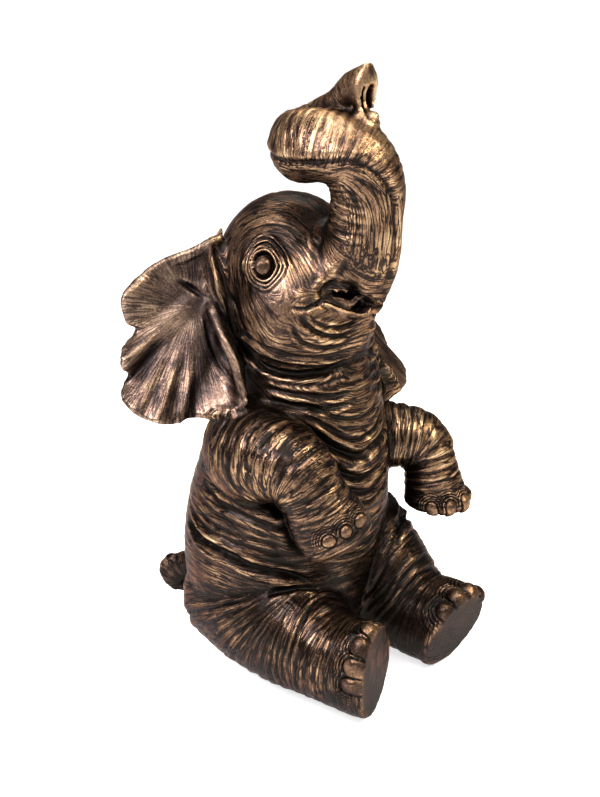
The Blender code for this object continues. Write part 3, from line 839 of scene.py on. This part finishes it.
def build_elephant():
    """The casting: the plain solid with all its relief, and what its finish and its painted light and sheen
    read.
    """
    piece = fine_skin()
    spots = [(mirrored(EYE, side), EYE_FINE) for side in (-1, 1)] + [(MOUTH, MOUTH_FINE)]
    spots += [(centre, NAIL_FINE) for name in FEET for centre, _ in nails(name)]
    refine(piece, spots)
    skin = Skin(piece)
    skin.even_out(6)
    reach = {name: bone_reach(bone, skin.at) for name, bone in ARMATURE.items()}
    weights = part_weights(skin, reach)
    relief = Relief(skin, wrinkle_phases(skin, reach), weights)
    model_ears(skin, relief, weights)
    lively = liveliness(skin, reach, weights)
    model_face(relief)
    model_body_folds(relief)
    ring_limbs(skin, relief, reach, weights, lively)
    model_trunk(skin, relief, reach, weights)
    work_grain(skin, relief, lively)
    sole, horn = model_feet(skin, relief, weights)
    eyes = model_eye(skin, relief, -1) + model_eye(skin, relief, 1)
    skin.raise_by(skin.blur(relief.height, 1))
    skin.write()
    ears = weights["right_ear"] + weights["left_ear"]
    even = np.clip(0.7 * ears + 0.8 * eyes + 0.5 * horn, 0, 1)
    # painted sheen: the ears and a spot below each eye are greyed and lightened, where the lamps glance off
    # them
    painted_sheen = ears + sum(0.8 * bell(np.linalg.norm(skin.at - mirrored(BELOW_EYE, side), axis=1), 1.8)
                       for side in (-1, 1))
    # painted light: the left arm, and a little of the right arm and the trunk, are lightened where the lamps
    # fall on them
    painted_light = weights["left_arm"] + 0.1 * weights["right_arm"] + 0.2 * weights["trunk"]
    mark_looks(skin, relief, even, {"sole": sole, "horn": horn, "eyes": eyes, "painted_sheen": painted_sheen,
                                    "lively": lively, "painted_light": painted_light})
    thin_out(piece, MOST_TRIANGLES)
    only_select(piece)
    bpy.ops.object.shade_smooth()
    return piece


# ---------------- finishes

def add_node(tree, kind, inputs=None, **settings):
    """Adds a shader node. An input is a number, a colour or another node's output."""
    node = tree.nodes.new("ShaderNode" + kind)
    for name, value in settings.items():
        setattr(node, name, value)
    for name, value in (inputs or {}).items():
        if isinstance(value, bpy.types.NodeSocket):
            tree.links.new(value, node.inputs[name])
        else:
            node.inputs[name].default_value = value
    return node


PATINA = (                               # from the hollows' patina to the ridges' rubbed gold
    (0.0, (0.004, 0.003, 0.002)), (0.30, (0.016, 0.010, 0.008)), (0.46, (0.055, 0.033, 0.023)),
    (0.62, (0.165, 0.097, 0.055)), (0.80, (0.33, 0.22, 0.125)), (1.0, (0.60, 0.46, 0.29)))
PAINTED_SHEEN_TINT = (0.95, 1.10, 1.45, 1)          # painted sheen: what the ears and the spots below the eyes are greyed by, where lamplight glances off them


def bronze_patina():
    """Dark patina in the hollows, brown on the flanks and rubbed gold on the ridges.

    Over it go painted shade where the skin is shut in, painted light towards the top, on the
    left arm and on the trunk, a painted sheen on the ears and below the eyes, and a painted
    highlight on the nails.
    """
    material = bpy.data.materials.new("bronze")
    material.use_nodes = True
    tree = material.node_tree
    shader = tree.nodes["Principled BSDF"]

    def sums(operation, first, second=0.0, third=0.0):
        return add_node(tree, "Math", {0: first, 1: second, 2: third}, operation=operation).outputs[0]

    def read(name, output="Fac"):
        return add_node(tree, "Attribute", attribute_name=name).outputs[output]

    def ranged(value, low, high, to_low, to_high, way="LINEAR"):
        """Maps the values from low to high on to another range, and holds them there."""
        return add_node(tree, "MapRange", {0: value, 1: low, 2: high, 3: to_low, 4: to_high},
                        interpolation_type=way).outputs[0]

    place = add_node(tree, "TexCoord").outputs["Object"]
    phases = add_node(tree, "SeparateXYZ", {0: read("phases", "Vector")}).outputs
    shares = add_node(tree, "SeparateXYZ", {0: read("shares", "Vector")}).outputs

    def streaks(across, along, detail):
        """Noise from -1 to 1 in streaks: so many a centimetre across, so many a metre along."""
        total = 0.0
        for layer in range(len(LAYERS)):
            noise = add_node(tree, "TexNoise", {
                "Vector": place, "W": sums("MULTIPLY", phases[layer], across / along), "Scale": along,
                "Detail": detail, "Roughness": 0.55}, noise_dimensions="4D")
            total = sums("MULTIPLY_ADD", noise.outputs[0], shares[layer], total)
        return sums("MULTIPLY_ADD", total, 2.0, -1.0)

    def engraved(lines, width):
        """1 in the thin lines where the streaks change sign, 0 between them."""
        return ranged(sums("ABSOLUTE", lines), 0.0, width, 1.0, 0.0, "SMOOTHSTEP")

    def mottle(scale, detail):
        """Noise from -1 to 1, with so many spots a metre."""
        noise = add_node(tree, "TexNoise", {"Vector": place, "Scale": scale, "Detail": detail})
        return sums("MULTIPLY_ADD", noise.outputs[0], 2.0, -1.0)

    fine = streaks(4.6, 34.0, 0.0)
    broad = streaks(2.4, 22.0, 0.0)
    rubbed = streaks(4.2, 50.0, 3.0)
    sole, horn, eyes, lively = read("sole"), read("horn"), read("eyes"), read("lively")
    plain = sums("MAXIMUM", sums("MAXIMUM", sole, horn), eyes)
    scored = sums("MULTIPLY", sums("SUBTRACT", 1.0, plain), sums("MULTIPLY_ADD", lively, 0.95, 0.05))
    cuts = sums("MULTIPLY", sums("MAXIMUM", engraved(fine, 0.17), engraved(broad, 0.12)), scored)
    rubbed = sums("MULTIPLY", rubbed, scored)
    patches = mottle(30.0, 4.0)
    speckle = mottle(520.0, 2.0)
    # the painted sheen of the ears and below the eyes
    painted_sheen = read("painted_sheen")
    # painted shade: darker where nearby parts shut the skin in, as under the chin and arms and between the
    # legs
    open_to_air = add_node(tree, "AmbientOcclusion", {"Distance": 0.08}, samples=6).outputs["AO"]
    painted_occlusion_shade = sums("SUBTRACT", 1.0, open_to_air)
    # how bright the bronze is: lighter towards the top, a painted light falling from above, then by each of
    # these
    level = ranged(add_node(tree, "SeparateXYZ", {0: place}).outputs[2], 0.0, 0.62, 0.40, 0.62)
    # the nails' small lift is a painted highlight; the shut-in share is painted shade, and the last two are
    # painted sheen and painted light
    for values, share in ((read("ridge"), 3.9), (read("swell"), 0.7), (rubbed, 0.28), (speckle, 0.22),
                          (patches, 0.40), (cuts, -0.50), (painted_occlusion_shade, -0.46), (sole, -0.12),
                          (horn, 0.05), (eyes, -0.12), (painted_sheen, 0.06), (read("painted_light"), 0.09)):
        level = sums("MULTIPLY_ADD", values, share, level)
    band = add_node(tree, "ValToRGB", {0: level})
    ramp = band.color_ramp
    while len(ramp.elements) < len(PATINA):
        ramp.elements.new(0.5)
    for element, (spot, colour) in zip(ramp.elements, PATINA):
        element.position = spot
        element.color = (*colour, 1)
    painted_sheen_mix = add_node(tree, "Mix", {0: sums("MULTIPLY", painted_sheen, 0.8), 6: band.outputs[0], 7: PAINTED_SHEEN_TINT},
                    data_type="RGBA", blend_type="MULTIPLY")
    tree.links.new(painted_sheen_mix.outputs[2], shader.inputs["Base Color"])
    rough = sums("MULTIPLY_ADD", sole, 0.25, sums("MULTIPLY_ADD", level, -0.12, 0.40))
    tree.links.new(rough, shader.inputs["Roughness"])
    shader.inputs["Metallic"].default_value = 0.9
    shader.inputs["Specular Tint"].default_value = (0.42, 0.30, 0.22, 1)
    shader.inputs["Coat Weight"].default_value = 0.12
    shader.inputs["Coat Roughness"].default_value = 0.3
    height = sums("MULTIPLY_ADD", cuts, -1.0, sums("MULTIPLY", speckle, 0.35))
    bump = add_node(tree, "Bump", {"Height": height, "Strength": 0.8, "Distance": 0.0005})
    tree.links.new(bump.outputs[0], shader.inputs["Normal"])
    return material


def pale_floor():
    """Matt paper, lit a little from within so that it stays nearly white."""
    material = bpy.data.materials.new("pale_floor")
    material.use_nodes = True
    shader = material.node_tree.nodes["Principled BSDF"]
    shader.inputs["Base Color"].default_value = (0.9, 0.9, 0.9, 1)
    shader.inputs["Roughness"].default_value = 0.9
    shader.inputs["Emission Color"].default_value = (1, 1, 1, 1)
    shader.inputs["Emission Strength"].default_value = 0.72
    return material


def add_stage():
    """The floor and the even light all round."""
    bpy.ops.mesh.primitive_plane_add(size=60.0, location=(0, 0, LOW.z))
    floor = bpy.context.active_object
    floor.name = "floor"
    floor.data.materials.append(pale_floor())
    world = bpy.data.worlds.new("studio")
    world.use_nodes = True
    background = world.node_tree.nodes["Background"]
    background.inputs["Color"].default_value = (1, 1, 1, 1)
    background.inputs["Strength"].default_value = 0.32
    bpy.context.scene.world = world
    bpy.context.scene.view_settings.view_transform = "Standard"


VIEW = (50.0, 22.0, 1.5)                 # turn and rise in degrees, distance in metres
VIEW_AIM = (0.0, -2.0, 29.0)             # in stations
VIEW_LENS = 67.53                        # millimetres, for a sensor 36 mm high
SOFTBOXES = (                            # turn, rise, distance, size, power, colour
    ("left softbox", 100, 40, 1.3, 0.6, 22, (1.0, 0.91, 0.93)),
    ("right softbox", -15, 45, 1.3, 0.6, 18, (1.0, 0.86, 0.64)),
    ("top softbox", 50, 80, 1.2, 0.8, 9, (1.0, 0.97, 0.94)),
    ("front softbox", 55, 45, 1.4, 0.7, 12, (1.0, 0.92, 0.92)),
    ("back softbox", 230, 55, 1.4, 1.0, 10, (1.0, 0.95, 0.85)))


def away(turn, rise):
    """The direction from the elephant to something at a turn from its front and a rise."""
    t, r = math.radians(turn), math.radians(rise)
    return np.array([-math.sin(t) * math.cos(r), -math.cos(t) * math.cos(r), math.sin(r)])


def aimed(thing, turn, rise, far):
    """Places a camera or a light and points it at the aim."""
    aim = np.array(VIEW_AIM) * CM + ORIGIN
    back = away(turn, rise)
    thing.location = aim + back * far
    thing.rotation_euler = Vector(-back).to_track_quat("-Z", "Y").to_euler()
    bpy.context.scene.collection.objects.link(thing)


def add_camera():
    """The main view of the elephant, as the scene's camera."""
    data = bpy.data.cameras.new("view")
    data.sensor_fit = "VERTICAL"
    data.sensor_height = 36.0
    data.lens = VIEW_LENS
    camera = bpy.data.objects.new("view", data)
    aimed(camera, *VIEW)
    bpy.context.scene.camera = camera


def add_light(name, turn, rise, far, size, power, colour):
    """A round soft light that faces the elephant."""
    data = bpy.data.lights.new(name, "AREA")
    data.shape = "DISK"
    data.size = size
    data.energy = power
    data.color = colour
    aimed(bpy.data.objects.new(name, data), turn, rise, far)


piece = build_elephant()
piece.data.materials.clear()
piece.data.materials.append(bronze_patina())
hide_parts(NODE)
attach(piece, "root")
add_stage()
add_camera()
for softbox in SOFTBOXES:
    add_light(*softbox)
